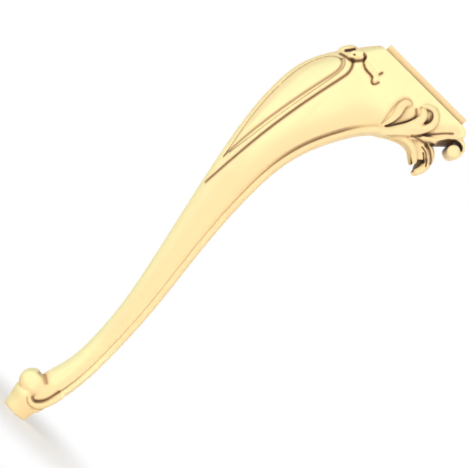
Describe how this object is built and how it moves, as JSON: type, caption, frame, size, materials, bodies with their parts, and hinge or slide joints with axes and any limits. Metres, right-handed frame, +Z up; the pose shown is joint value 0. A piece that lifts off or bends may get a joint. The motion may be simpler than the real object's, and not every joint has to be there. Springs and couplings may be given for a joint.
{
  "type": "cabriole furniture leg",
  "caption": "S-curved carved wooden table leg with a keeled, grooved knee, a ribbon bow, beaded rear edges, a scrolled bracket with a hanging leaf, and a small padded toe.",
  "frame": {"origin": "middle of the foot pad, on the floor", "axes": "+Z up the leg, -X towards the front of the knee, +X towards the bracket, XZ is the mirror plane"},
  "size_m": [0.2586, 0.0806, 0.74],
  "materials": {
    "wood": "satin"
  },
  "bodies": {
    "root": {"carved_leg": "wood"}
  },
  "joints": []
}
